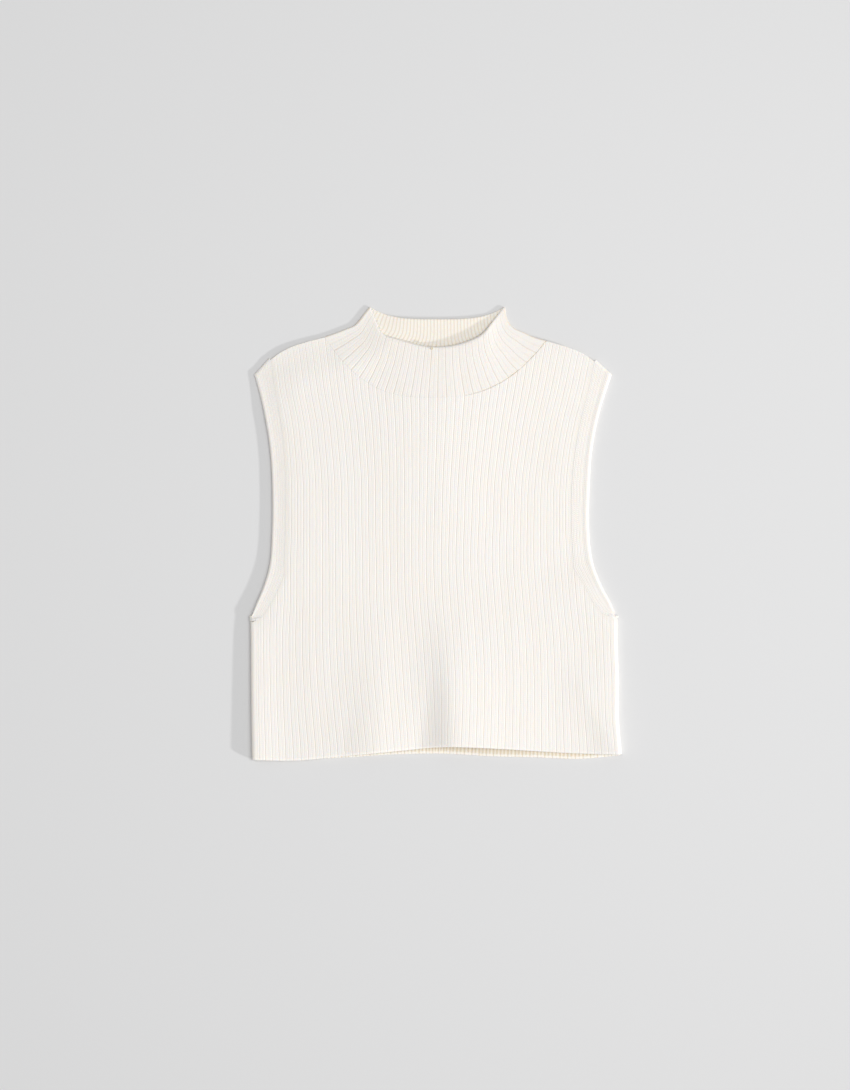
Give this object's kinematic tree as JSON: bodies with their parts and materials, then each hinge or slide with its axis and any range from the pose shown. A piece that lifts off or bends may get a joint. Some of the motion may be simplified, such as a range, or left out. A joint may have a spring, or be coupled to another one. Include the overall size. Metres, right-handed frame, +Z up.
{
  "type": "sleeveless rib knit top",
  "caption": "Cropped sleeveless top in cream rib knit with a mock neck and plain bound armholes, laid flat with its front up.",
  "frame": {"origin": "on the surface that the top lies on, under the middle of its outline", "axes": "+Z up from the surface, +Y from the hem towards the collar, +X towards the right of the picture, which is the wearer's left"},
  "size_m": [0.4128, 0.5032, 0.0127],
  "materials": {
    "rib_knit": "soft matte cream rib knit",
    "armhole_binding": "soft matte cream plain knit"
  },
  "bodies": {
    "root": {"front_panel": "rib_knit", "back_panel": "rib_knit", "collar": "rib_knit", "armhole_band_left": "armhole_binding", "armhole_band_right": "armhole_binding"}
  },
  "joints": []
}
